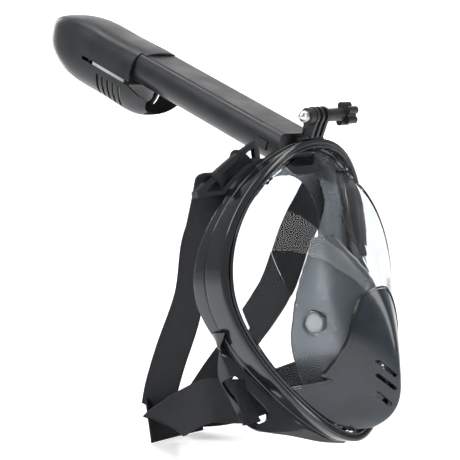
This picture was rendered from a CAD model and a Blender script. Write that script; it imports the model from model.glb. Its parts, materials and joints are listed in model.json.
"""Looks for the full face snorkel mask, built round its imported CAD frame."""
import json
import math

import bpy
import bmesh
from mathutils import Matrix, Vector


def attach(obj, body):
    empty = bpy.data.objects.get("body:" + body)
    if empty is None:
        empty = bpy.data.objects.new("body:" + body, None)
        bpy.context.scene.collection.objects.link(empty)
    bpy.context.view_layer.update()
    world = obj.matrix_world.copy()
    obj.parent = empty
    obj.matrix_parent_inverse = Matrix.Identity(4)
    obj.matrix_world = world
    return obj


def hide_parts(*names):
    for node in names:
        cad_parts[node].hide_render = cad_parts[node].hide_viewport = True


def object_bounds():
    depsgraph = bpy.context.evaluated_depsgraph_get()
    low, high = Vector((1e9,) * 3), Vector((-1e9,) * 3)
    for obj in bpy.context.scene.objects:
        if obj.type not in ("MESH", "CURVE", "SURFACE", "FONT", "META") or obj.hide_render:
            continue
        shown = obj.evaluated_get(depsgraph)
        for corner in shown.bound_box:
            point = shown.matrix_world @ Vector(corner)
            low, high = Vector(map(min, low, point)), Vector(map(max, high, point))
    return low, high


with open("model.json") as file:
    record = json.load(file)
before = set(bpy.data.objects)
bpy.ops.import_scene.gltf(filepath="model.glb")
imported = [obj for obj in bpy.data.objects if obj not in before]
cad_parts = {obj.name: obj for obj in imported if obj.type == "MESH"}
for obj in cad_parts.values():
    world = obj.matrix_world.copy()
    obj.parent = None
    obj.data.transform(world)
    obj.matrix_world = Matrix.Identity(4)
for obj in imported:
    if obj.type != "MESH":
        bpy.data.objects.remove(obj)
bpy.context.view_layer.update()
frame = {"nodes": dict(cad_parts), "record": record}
MM = 0.001
LEAN = math.radians(11.5)          # the mask leans back by this much about its seal
SEAL_DEPTH = 75.0                  # from the rim's front to the seal
WRAP_RADIUS = 125.0                # the rim's front face is wrapped round this radius


# ------------------------------------------------------------------ frames
def row(x, y, z):
    """A point of the mask's own frame, in millimetres, as a point of the row frame in metres."""
    y -= SEAL_DEPTH
    return Vector((x, y * math.cos(LEAN) + z * math.sin(LEAN), z * math.cos(LEAN) - y * math.sin(LEAN))) * MM


# ------------------------------------------------------------------ materials
def new_material(name, color, roughness, **extra):
    """Principled material; extra holds shader socket names with underscores for spaces."""
    mat = bpy.data.materials.new(name)
    mat.use_nodes = True
    shader = mat.node_tree.nodes["Principled BSDF"]
    shader.inputs["Base Color"].default_value = (*color, 1)
    shader.inputs["Roughness"].default_value = roughness
    for key, value in extra.items():
        shader.inputs[key.replace("_", " ")].default_value = value
    return mat, mat.node_tree, shader


def mottle(tree, shader, scale, low, high, color_a=None, color_b=None):
    """Noise that varies the roughness and, given two shades, the colour; returns its coordinates."""
    coords = tree.nodes.new("ShaderNodeTexCoord")
    noise = tree.nodes.new("ShaderNodeTexNoise")
    noise.inputs["Scale"].default_value = scale
    noise.inputs["Detail"].default_value = 5
    tree.links.new(coords.outputs["Object"], noise.inputs["Vector"])
    ramp = tree.nodes.new("ShaderNodeMapRange")
    ramp.inputs["From Min"].default_value = 0.3
    ramp.inputs["From Max"].default_value = 0.7
    ramp.inputs["To Min"].default_value = low
    ramp.inputs["To Max"].default_value = high
    tree.links.new(noise.outputs["Fac"], ramp.inputs["Value"])
    tree.links.new(ramp.outputs["Result"], shader.inputs["Roughness"])
    if color_a:
        colors = tree.nodes.new("ShaderNodeValToRGB")
        colors.color_ramp.elements[0].position = 0.35
        colors.color_ramp.elements[1].position = 0.65
        colors.color_ramp.elements[0].color = (*color_a, 1)
        colors.color_ramp.elements[1].color = (*color_b, 1)
        tree.links.new(noise.outputs["Fac"], colors.inputs["Fac"])
        tree.links.new(colors.outputs["Color"], shader.inputs["Base Color"])
    return coords


def grain(tree, shader, coords, scale, strength, distance):
    """Fine moulded texture as bump."""
    noise = tree.nodes.new("ShaderNodeTexNoise")
    noise.inputs["Scale"].default_value = scale
    noise.inputs["Detail"].default_value = 3
    tree.links.new(coords.outputs["Object"], noise.inputs["Vector"])
    bump = tree.nodes.new("ShaderNodeBump")
    bump.inputs["Strength"].default_value = strength
    bump.inputs["Distance"].default_value = distance
    tree.links.new(noise.outputs["Fac"], bump.inputs["Height"])
    tree.links.new(bump.outputs["Normal"], shader.inputs["Normal"])


def plastic(name, color, rough, texture=0.0, coat=0.0):
    """Moulded plastic with a little variation of shade and gloss."""
    mat, tree, shader = new_material(name, color, rough, Coat_Weight=coat, Coat_Roughness=0.06,
                                     Specular_IOR_Level=0.4)
    darker = tuple(0.8 * c for c in color)
    lighter = tuple(1.2 * c for c in color)
    coords = mottle(tree, shader, 38, rough * 0.8, rough * 1.25, darker, lighter)
    grain(tree, shader, coords, 2600, texture, 0.0002)
    return mat


def webbing(name):
    """Black woven webbing: ribs across the band and fine yarns along it, on the band's own UVs."""
    yarn, yarn_dark, yarn_pale = (0.012, 0.013, 0.015), (0.009, 0.010, 0.012), (0.019, 0.020, 0.023)
    mat, tree, shader = new_material(name, yarn, 0.8, Sheen_Weight=0.03, Specular_IOR_Level=0.12)
    coords = mottle(tree, shader, 120, 0.7, 0.95, yarn_dark, yarn_pale)
    heights = []
    for axis, scale in (("X", 110.0), ("Y", 160.0)):
        wave = tree.nodes.new("ShaderNodeTexWave")
        wave.bands_direction = axis
        wave.inputs["Scale"].default_value = scale
        wave.inputs["Distortion"].default_value = 0.6
        tree.links.new(coords.outputs["UV"], wave.inputs["Vector"])
        heights.append(wave.outputs["Fac"])
    weave = tree.nodes.new("ShaderNodeMath")
    weave.operation = "MULTIPLY"
    tree.links.new(heights[0], weave.inputs[0])
    tree.links.new(heights[1], weave.inputs[1])
    bump = tree.nodes.new("ShaderNodeBump")
    bump.inputs["Strength"].default_value = 0.55
    bump.inputs["Distance"].default_value = 0.0004
    tree.links.new(weave.outputs["Value"], bump.inputs["Height"])
    tree.links.new(bump.outputs["Normal"], shader.inputs["Normal"])
    return mat


def clear(name, color, rough, transmission, ior):
    """See-through plastic or silicone."""
    mat, tree, shader = new_material(name, color, rough, IOR=ior, Transmission_Weight=transmission)
    mottle(tree, shader, 30, rough * 0.8, rough * 1.3)
    return mat


def steel(name):
    """Stainless steel with fine scratches."""
    mat, tree, shader = new_material(name, (0.66, 0.65, 0.63), 0.22, Metallic=1.0)
    coords = mottle(tree, shader, 400, 0.12, 0.34)
    grain(tree, shader, coords, 900, 0.2, 0.0001)
    return mat


LOOKS = {
    "clear_lens": clear("lens_clear", (0.93, 0.95, 0.96), 0.015, 1.0, 1.18),
    "gloss_black": plastic("plastic_gloss_black", (0.008, 0.010, 0.012), 0.16, 0.02, 0.5),
    "satin_black": plastic("plastic_satin_black", (0.012, 0.013, 0.015), 0.36, 0.15),
    "slate_chin": plastic("plastic_slate", (0.012, 0.018, 0.024), 0.22, 0.04, 0.4),
    "skirt_silicone": clear("silicone_smoke", (0.16, 0.18, 0.20), 0.25, 0.75, 1.35),
    "pocket_silicone": clear("silicone_grey", (0.22, 0.24, 0.26), 0.22, 0.7, 1.35),
    "seal_rubber": plastic("rubber_black", (0.012, 0.012, 0.012), 0.6, 0.2),
    "valve_silicone": clear("silicone_white", (0.75, 0.77, 0.78), 0.3, 0.3, 1.4),
    "strap_fabric": webbing("webbing_black"),
    "stainless": steel("steel_polished"),
    "strip_grey": plastic("plastic_grey", (0.33, 0.34, 0.35), 0.3, 0.05),
    "float_foam": plastic("plastic_white", (0.6, 0.6, 0.6), 0.45, 0.1),
}
SLOT_OF = {entry["node"]: entry["material_slot"] for entry in frame["record"]["subparts"]}
for node, obj in frame["nodes"].items():
    obj.data.materials.clear()
    obj.data.materials.append(LOOKS[SLOT_OF[node]])


# ------------------------------------------------------------------ mesh helpers
def make_object(name, verts, faces, slot, body, stands_for=(), uvs=None, smooth=True, subdivide=0):
    """Mesh object from points and faces; it takes its slot's material and rides on a body."""
    mesh = bpy.data.meshes.new(name)
    mesh.from_pydata([tuple(v) for v in verts], [], faces)
    mesh.validate()
    if uvs:
        layer = mesh.uv_layers.new(name="UVMap")
        for loop in mesh.loops:
            layer.data[loop.index].uv = uvs[loop.vertex_index]
    work = bmesh.new()
    work.from_mesh(mesh)
    bmesh.ops.recalc_face_normals(work, faces=work.faces)
    work.to_mesh(mesh)
    work.free()
    for polygon in mesh.polygons:
        polygon.use_smooth = smooth
    obj = bpy.data.objects.new(name, mesh)
    bpy.context.collection.objects.link(obj)
    obj.data.materials.append(LOOKS[slot])
    if subdivide:
        modifier = obj.modifiers.new("smooth", "SUBSURF")
        modifier.levels = modifier.render_levels = subdivide
    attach(obj, body)
    if stands_for:
        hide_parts(*stands_for)
    return obj


def grid_faces(rows, columns, close_rows, close_columns):
    """Quads of a grid of points, closed on itself in either direction."""
    faces = []
    for i in range(rows if close_rows else rows - 1):
        for j in range(columns if close_columns else columns - 1):
            k, l = (i + 1) % rows, (j + 1) % columns
            faces.append((i * columns + j, i * columns + l, k * columns + l, k * columns + j))
    return faces


def smooth_path(points, steps):
    """Catmull-Rom curve through the points, as Vectors."""
    pts = [Vector(p) for p in points]
    pts = [2 * pts[0] - pts[1]] + pts + [2 * pts[-1] - pts[-2]]
    out = []
    for i in range(1, len(pts) - 2):
        a, b, c, d = pts[i - 1:i + 3]
        for s in range(steps):
            t = s / steps
            out.append(0.5 * (2 * b + (c - a) * t + (2 * a - 5 * b + 4 * c - d) * t * t
                              + (3 * b - a - 3 * c + d) * t ** 3))
    out.append(pts[-2])
    return out


# ------------------------------------------------------------------ rim
CROWN, CHIN, HALF_WIDTH, WIDEST = 124, -134, 94, 8      # heights of the rim's ends and of its widest place
UPPER_CURVE = ((0, CROWN), (50, CROWN), (HALF_WIDTH, 78), (HALF_WIDTH, WIDEST))
LOWER_CURVE = ((HALF_WIDTH, WIDEST), (HALF_WIDTH, -58), (38, CHIN), (0, CHIN))


def rim_outline(steps):
    """Points (x, z) and outward normals right round the rim, clockwise from the top."""
    half = []
    for curve in (UPPER_CURVE, LOWER_CURVE):
        for step in range(steps):
            t, u = step / steps, 1 - step / steps
            weights = (u ** 3, 3 * u * u * t, 3 * u * t * t, t ** 3)
            slopes = (-u * u, u * u - 2 * u * t, 2 * u * t - t * t, t * t)
            x, z = (sum(w * p[k] for w, p in zip(weights, curve)) for k in (0, 1))
            dx, dz = (sum(w * p[k] for w, p in zip(slopes, curve)) for k in (0, 1))
            size = math.hypot(dx, dz)
            half.append((x, z, -dz / size, dx / size))
    half.append((0, CHIN, 0, -1))
    return half + [(-x, z, -nx, nz) for x, z, nx, nz in half[-2:0:-1]]


def wrapped(x, depth):
    """Depth coordinate of a point at x, so far behind the rim's wrapped front face."""
    radius = WRAP_RADIUS - depth
    return WRAP_RADIUS - math.sqrt(max(radius ** 2 - x ** 2, 1))


def rim_sweep(name, profile, slot, body, stands_for=()):
    """Closed band round the rim from a closed profile of (inset, depth) points."""
    outline = rim_outline(48)
    verts = []
    for x, z, nx, nz in outline:
        for inset, depth in profile:
            px, pz = x - inset * nx, z - inset * nz
            verts.append(row(px, wrapped(px, depth), pz))
    faces = grid_faces(len(outline), len(profile), True, True)
    return make_object(name, verts, faces, slot, body, stands_for)


def rounded(points, radius, steps=4):
    """Closed profile with its corners rounded."""
    out = []
    count = len(points)
    for i, p in enumerate(points):
        p = Vector(p)
        a, b = Vector(points[i - 1]) - p, Vector(points[(i + 1) % count]) - p
        cut = min(radius, a.length * 0.45, b.length * 0.45)
        start, end = p + a.normalized() * cut, p + b.normalized() * cut
        for s in range(steps + 1):
            t = s / steps
            out.append(tuple((1 - t) ** 2 * start + 2 * t * (1 - t) * p + t * t * end))
    return out


# profiles of (inset from the outline, depth behind the rim's front): outer bead, groove and inner bead
RIM_BAND = 7.4
RIM_FRONT = rounded([(0.0, 0.6), (1.6, 0.0), (4.2, 0.2), (4.5, 1.7), (5.4, 1.9), (5.7, 0.7), (7.2, 0.5),
                     (RIM_BAND, 12.8), (0.1, 12.8)], 0.8)
FRAME_RING = rounded([(0.0, 13.1), (RIM_BAND, 13.1), (RIM_BAND, 20.0), (0.0, 20.0)], 0.7)
rim_sweep("rim_front", RIM_FRONT, "gloss_black", "mask", ("front_bezel",))

# heights down the jaw's front edge, and points (x, y, z) down its rear edge
WING_FRONT = (-25, -42, -56, -66, -76, -88, -99, -109, -119, -129, -134)
WING_REAR = ((90, 50, -26), (91.5, 60, -42), (91.5, 65, -58), (90.5, 64.5, -68), (88, 60.5, -80),
             (84.5, 57.5, -94), (80, 51, -106), (71, 41, -113), (54, 33, -119), (30, 26, -127), (0, 22, CHIN))
WING_DEPTH = 17.5                  # the jaw leaves the ring this far behind the rim's front
WING_BULGE = 2.2
WING_WALL = 2.6
WING_EDGE = 0.5
WING_QUADS = 10                    # from the front edge to the rear edge
SLOT_SIZE = (40, 11, 43)
SLOT_PLACE = (85, 50.5, -85)
SLOT_TURN = math.radians(24)


def outline_width(height):
    """Half width of the rim's outline at a height on its lower part."""
    half = [p for p in rim_outline(96) if p[0] >= 0 and p[1] <= WIDEST]
    return min(half, key=lambda p: abs(p[1] - height))[0]


def jaw_wings():
    """The frame's flaring jaw: a wall from the ring to its rear edge, slotted for the lower straps."""
    front = [(outline_width(z), wrapped(outline_width(z), WING_DEPTH), z) for z in WING_FRONT]
    front, rear = smooth_path(front, 8), smooth_path(WING_REAR, 8)
    front = [Vector((-p.x, p.y, p.z)) for p in front] + front[-2::-1]
    rear = [Vector((-p.x, p.y, p.z)) for p in rear] + rear[-2::-1]
    verts = []
    for a, b in zip(front, rear):
        for k in range(WING_QUADS + 1):
            t = k / WING_QUADS
            p = a.lerp(b, t)
            out = Vector((p.x, 0, p.z + 20)).normalized()
            verts.append(row(*(p + out * WING_BULGE * math.sin(math.pi * t))))
    faces = grid_faces(len(front), WING_QUADS + 1, False, False)
    wing = make_object("frame_jaw", verts, faces, "gloss_black", "mask")
    bpy.context.view_layer.objects.active = wing
    thick = wing.modifiers.new("wall", "SOLIDIFY")
    thick.thickness = WING_WALL * MM
    thick.offset = -1
    bpy.ops.object.modifier_apply(modifier=thick.name)
    for side in (-1, 1):
        bpy.ops.mesh.primitive_cube_add(size=1)
        cutter = bpy.context.object
        round_off = cutter.modifiers.new("round", "BEVEL")
        round_off.width, round_off.segments = 0.1, 4
        cutter.scale = Vector(SLOT_SIZE) * MM
        cutter.rotation_euler = (-SLOT_TURN - LEAN, 0, 0)
        cutter.location = row(side * SLOT_PLACE[0], *SLOT_PLACE[1:])
        bpy.context.view_layer.update()
        cut = wing.modifiers.new("slot", "BOOLEAN")
        cut.operation = "DIFFERENCE"
        cut.object = cutter
        bpy.context.view_layer.objects.active = wing
        bpy.ops.object.modifier_apply(modifier=cut.name)
        bpy.data.objects.remove(cutter, do_unlink=True)
    edge = wing.modifiers.new("edge", "BEVEL")
    edge.width, edge.segments, edge.limit_method = WING_EDGE * MM, 3, "ANGLE"
    bpy.ops.object.modifier_apply(modifier=edge.name)


rim_sweep("frame_ring", FRAME_RING, "gloss_black", "mask", ("rear_frame",))
jaw_wings()


# ------------------------------------------------------------------ face skirt
# the skirt's rear edge in side view, as (depth, height); its ends lie above the crown and below the chin
SKIRT_EDGE = ((34, 132), (50, 103), (66, 68), (80, 40), (83, 22), (78, -8), (66, -38), (48, -80),
              (34, -136))
SKIRT_FRONT = 17.4
SKIRT_LEAST = 8                    # the least depth of the skirt's wall
# the wall's closed profile, as (inset from the outline, place from its front at 0 to its rear edge at 1)
SKIRT_WALL = ((8.6, 0.0), (8.3, 0.3), (8.3, 0.6), (8.5, 0.85), (9.6, 0.97), (12.0, 1.0), (17.0, 0.985),
              (22.5, 0.94), (25.6, 0.89), (25.9, 0.87), (22.5, 0.90), (17.0, 0.945), (12.8, 0.95),
              (11.0, 0.85), (10.6, 0.6), (10.6, 0.3), (10.6, 0.0))


def edge_depth(height):
    """Depth of the skirt's rear edge at a height."""
    for (y0, z0), (y1, z1) in zip(SKIRT_EDGE, SKIRT_EDGE[1:]):
        if z1 <= height <= z0:
            t = (height - z1) / (z0 - z1)
            return y1 + (y0 - y1) * t
    return SKIRT_EDGE[0][0]


def face_skirt():
    """Silicone skirt: a bulging wall behind the frame that rolls in to a soft inner lip."""
    outline = rim_outline(40)
    verts = []
    for x, z, nx, nz in outline:
        for inset, along in SKIRT_WALL:
            px, pz = x - inset * nx, z - inset * nz
            start = wrapped(px, SKIRT_FRONT)
            end = max(edge_depth(pz), start + SKIRT_LEAST)
            verts.append(row(px, start + (end - start) * along, pz))
    faces = grid_faces(len(outline), len(SKIRT_WALL), True, True)
    make_object("skirt", verts, faces, "skirt_silicone", "mask", ("face_skirt",), subdivide=1)


face_skirt()


# ------------------------------------------------------------------ nose and mouth pocket
# (height, half width, front, rear) of the pocket's sections
POCKET_LEVELS = ((42, 9, 1, 14), (25, 18, -14, 16), (4, 28, -32, 20), (-18, 34, -39, 24), (-45, 38, -43, 28),
                 (-75, 33, -23, 28), (-105, 22, -10, 26))
POCKET_TOP, POCKET_HEIGHT, POCKET_ROWS = 41.5, 146, 48
POCKET_WALL = 1.5
POCKET_SIDE = 8                    # depth at which the pocket's curved front meets its flat sides
VALVE_RADIUS = 9.9
VALVE_PLACE = (34.5, 2, -29)
VALVE_FACING = (0.9, -0.43, 0)


def pocket_section(height, shrink):
    """Half section of the pocket at a height, from the middle of its front to its rear edge."""
    curve = smooth_path([(h, w, f) for h, w, f, _ in POCKET_LEVELS], 12)
    rears = smooth_path([(h, r, 0) for h, _, _, r in POCKET_LEVELS], 12)
    nearest = min(range(len(curve)), key=lambda i: abs(curve[i].x - height))
    width, front, rear = curve[nearest].y - shrink, curve[nearest].z + shrink, rears[nearest].y
    points = []
    for s in range(13):
        t, u = s / 12, 1 - s / 12
        bends = ((0, front), (0.35 * width, front), (width, front + 0.45 * (POCKET_SIDE - front)),
                 (width, POCKET_SIDE))
        weights = (u ** 3, 3 * u * u * t, 3 * u * t * t, t ** 3)
        points.append(tuple(sum(w * b[k] for w, b in zip(weights, bends)) for k in (0, 1)))
    points += [(width, POCKET_SIDE + (rear - POCKET_SIDE) * s / 5) for s in range(1, 6)]
    return points


def nose_pocket():
    """Translucent silicone pocket with a wall, and round openings for the two check valves."""
    verts = []
    for i in range(POCKET_ROWS + 1):
        height = POCKET_TOP - POCKET_HEIGHT * i / POCKET_ROWS
        outer = pocket_section(height, 0)
        inner = pocket_section(height, POCKET_WALL)
        loop = [(-x, y) for x, y in outer[::-1]] + outer[1:] + inner[::-1] + [(-x, y) for x, y in inner[1:]]
        verts += [row(x, y, height) for x, y in loop]
        columns = len(loop)
    faces = grid_faces(POCKET_ROWS + 1, columns, False, True)
    half = columns // 2
    for base in (0, POCKET_ROWS * columns):
        for j in range(half):
            faces.append((base + j, base + j + 1, base + columns - 2 - j, base + columns - 1 - j))
    pocket = make_object("pocket", verts, faces, "pocket_silicone", "mask", ("nose_mouth_pocket",))
    for side in (-1, 1):
        bpy.ops.mesh.primitive_cylinder_add(radius=VALVE_RADIUS * MM, depth=16 * MM, vertices=48)
        cutter = bpy.context.object
        direction = row(side * VALVE_FACING[0], *VALVE_FACING[1:]) - row(0, 0, 0)
        cutter.rotation_mode = "QUATERNION"
        cutter.rotation_quaternion = direction.to_track_quat("Z", "Y")
        cutter.location = row(side * VALVE_PLACE[0], *VALVE_PLACE[1:])
        bpy.context.view_layer.update()
        modifier = pocket.modifiers.new("valve", "BOOLEAN")
        modifier.operation = "DIFFERENCE"
        modifier.object = cutter
        bpy.context.view_layer.objects.active = pocket
        bpy.ops.object.modifier_apply(modifier=modifier.name)
        bpy.data.objects.remove(cutter, do_unlink=True)


nose_pocket()


# ------------------------------------------------------------------ headband
STRAP_WIDTH, PAD_WIDTH = 38.0, 42.0
STRAP_THICKNESS, PAD_THICKNESS = 1.7, 2.4
# the webbing's closed section, in widths and thicknesses, with a thick selvedge along each edge
WEB_EDGE = ((0.43, 0.46), (0.46, 0.56), (0.492, 0.46))
WEB_TOP = [(-u, v) for u, v in WEB_EDGE[::-1]] + [(0, 0.5)] + list(WEB_EDGE)
WEB_SECTION = [(-0.5, 0)] + WEB_TOP + [(0.5, 0)] + [(u, -v) for u, v in WEB_TOP[::-1]]


def strap(name, stations, stands_for, side=1, width=STRAP_WIDTH, thickness=STRAP_THICKNESS):
    """Flat webbing along stations of (centre, direction across), with thick selvedges; side -1 mirrors it."""
    centres = smooth_path([c for c, _ in stations], 14)
    across = smooth_path([a for _, a in stations], 14)
    verts, uvs, travelled = [], [], 0.0
    for i, centre in enumerate(centres):
        along = (centres[min(i + 1, len(centres) - 1)] - centres[max(i - 1, 0)]).normalized()
        wide = (across[i] - along * across[i].dot(along)).normalized()
        normal = along.cross(wide)
        if i:
            travelled += (centre - centres[i - 1]).length
        for u, v in WEB_SECTION:
            p = centre + wide * (u * width) + normal * (v * thickness)
            verts.append(row(side * p.x, p.y, p.z))
            uvs.append((u * width * 0.01, travelled * 0.01))
    columns = len(WEB_SECTION)
    faces = grid_faces(len(centres), columns, False, True)
    faces += [tuple(range(columns)), tuple((len(centres) - 1) * columns + j for j in range(columns))]
    make_object(name, verts, faces, "strap_fabric", "mask", (stands_for,), uvs)


# stations of (centre, direction across): from the anchor down to the back, and from the jaw's slot back
ROLL = (-0.65, 0.59, -0.50)
UPPER = (((-54, 56, 99), ROLL), ((-55.5, 49, 100), ROLL), ((-59, 45.5, 103), ROLL),
         ((-62.5, 46.5, 107), ROLL), ((-64.5, 52, 107.5), ROLL), ((-64.5, 59, 101), (-0.6, 0.72, -0.35)),
         ((-65, 68, 90), (-0.35, 0.93, -0.05)), ((-66, 80, 74), (-0.05, 0.95, 0.3)),
         ((-65, 93, 58), (0.12, 0.88, 0.46)), ((-63, 106, 40), (0.1, 0.85, 0.52)),
         ((-56, 130, -2), (0.05, 0.85, 0.52)), ((-44, 176, -48), (-0.05, 0.84, 0.54)),
         ((-33, 207, -78), (-0.1, 0.87, 0.45)), ((-22, 228, -100), (-0.35, 0.75, 0.55)))
LOOP = (0, 0.41, 0.91)
LOWER = (((-77, 66, -86), LOOP), ((-80, 58, -86), LOOP), ((-83.5, 54, -86), LOOP), ((-84, 50, -86), LOOP),
         ((-81, 46.5, -86), LOOP), ((-76.5, 48, -86), LOOP), ((-75, 60, -86), (0, 0.38, 0.92)),
         ((-74.5, 80, -85.5), (0, 0.25, 0.97)), ((-72, 104, -85), (0, 0.1, 0.99)),
         ((-59, 146, -94), (-0.1, 0, 0.99)), ((-42, 188, -105), (-0.45, 0.1, 0.88)),
         ((-22, 226, -111), (-0.85, 0.1, 0.5)))
PAD_HEIGHT = -107
PAD = tuple(((x, y, PAD_HEIGHT), (0, 0, 1))
            for x, y in ((-33, 230.8), (-15, 232.3), (0, 232.6), (15, 232.3), (33, 230.8)))
for side, word in ((1, "right"), (-1, "left")):
    strap("strap_upper_web_" + word, UPPER, "strap_upper_" + word, side)
    strap("strap_lower_web_" + word, LOWER, "strap_lower_" + word, side)
strap("strap_back_web", PAD, "strap_back_pad", width=PAD_WIDTH, thickness=PAD_THICKNESS)


# ------------------------------------------------------------------ stage, light and camera
AZIMUTH, ELEVATION = math.radians(-48), math.radians(4)
BACK = Vector((math.sin(AZIMUTH) * math.cos(ELEVATION), -math.cos(AZIMUTH) * math.cos(ELEVATION),
               math.sin(ELEVATION)))
RIGHT = Vector((math.cos(AZIMUTH), math.sin(AZIMUTH), 0))
UP = BACK.cross(RIGHT)
PALE = (0.95, 0.95, 0.95)
FLOOR_SIZE, FLOOR_GAP = 60, 0.001
BACKDROP_SIZE, BACKDROP_DISTANCE, BACKDROP_RISE = 3.4, 3.6, 1.95
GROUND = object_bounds()[0].z


def glowing(name, roughness, strength):
    """Pale matt material that also glows a little, for the floor and the backdrop."""
    return new_material(name, PALE, roughness, Emission_Color=(1, 1, 1, 1), Emission_Strength=strength)[0]


bpy.ops.mesh.primitive_plane_add(size=FLOOR_SIZE, location=(0, 0, GROUND - FLOOR_GAP))
floor = bpy.context.object
floor.name = "floor"
floor.data.materials.append(glowing("floor_pale", 0.7, 0.32))

bpy.ops.mesh.primitive_plane_add(size=BACKDROP_SIZE)
backdrop = bpy.context.object
backdrop.name = "backdrop"
backdrop.rotation_mode = "QUATERNION"
backdrop.rotation_quaternion = BACK.to_track_quat("Z", "Y")
backdrop.location = -BACK * BACKDROP_DISTANCE + Vector((0, 0, GROUND + BACKDROP_RISE))
backdrop.data.materials.append(glowing("backdrop_pale", 0.9, 0.75))

world = bpy.data.worlds.new("studio")
bpy.context.scene.world = world
world.use_nodes = True
world.node_tree.nodes["Background"].inputs["Color"].default_value = (0.95, 0.96, 0.97, 1)
world.node_tree.nodes["Background"].inputs["Strength"].default_value = 0.42
bpy.context.scene.view_settings.view_transform = "Standard"

LIGHT_TARGET = Vector((0, 0.05, 0.05))


def area_light(name, place, size, power):
    """Soft rectangular light aimed at the object; place is (right, up, towards the camera) in metres."""
    data = bpy.data.lights.new(name, "AREA")
    data.shape = "RECTANGLE"
    data.size, data.size_y = size
    data.energy = power
    light = bpy.data.objects.new(name, data)
    bpy.context.collection.objects.link(light)
    light.location = LIGHT_TARGET + RIGHT * place[0] + Vector((0, 0, 1)) * place[1] + BACK * place[2]
    light.rotation_mode = "QUATERNION"
    light.rotation_quaternion = (LIGHT_TARGET - light.location).to_track_quat("-Z", "Y")


area_light("key", (-1.3, 1.2, 0.9), (1.0, 1.4), 26)
area_light("fill", (1.3, 0.7, 0.9), (0.5, 1.4), 12)
area_light("top", (0.0, 1.8, -0.4), (1.6, 0.8), 20)
area_light("kicker", (-1.0, 0.3, -1.3), (0.4, 1.4), 12)

CAMERA_DISTANCE = 1.3              # from the crown of the rim
CAMERA_LENS, SENSOR = 119.75, 36
AIM_RIGHT, AIM_UP = -0.05687, -0.06016      # how far the aim turns off the crown, as tangents

camera_data = bpy.data.cameras.new("camera")
camera = bpy.data.objects.new("camera", camera_data)
bpy.context.collection.objects.link(camera)
camera_data.sensor_width = SENSOR
camera_data.lens = CAMERA_LENS
camera_data.clip_start = 0.05
camera_data.clip_end = 100
camera.location = row(0, 0, CROWN) + BACK * CAMERA_DISTANCE
camera.rotation_mode = "QUATERNION"
camera.rotation_quaternion = (-BACK + RIGHT * AIM_RIGHT + UP * AIM_UP).to_track_quat("-Z", "Y")
bpy.context.scene.camera = camera
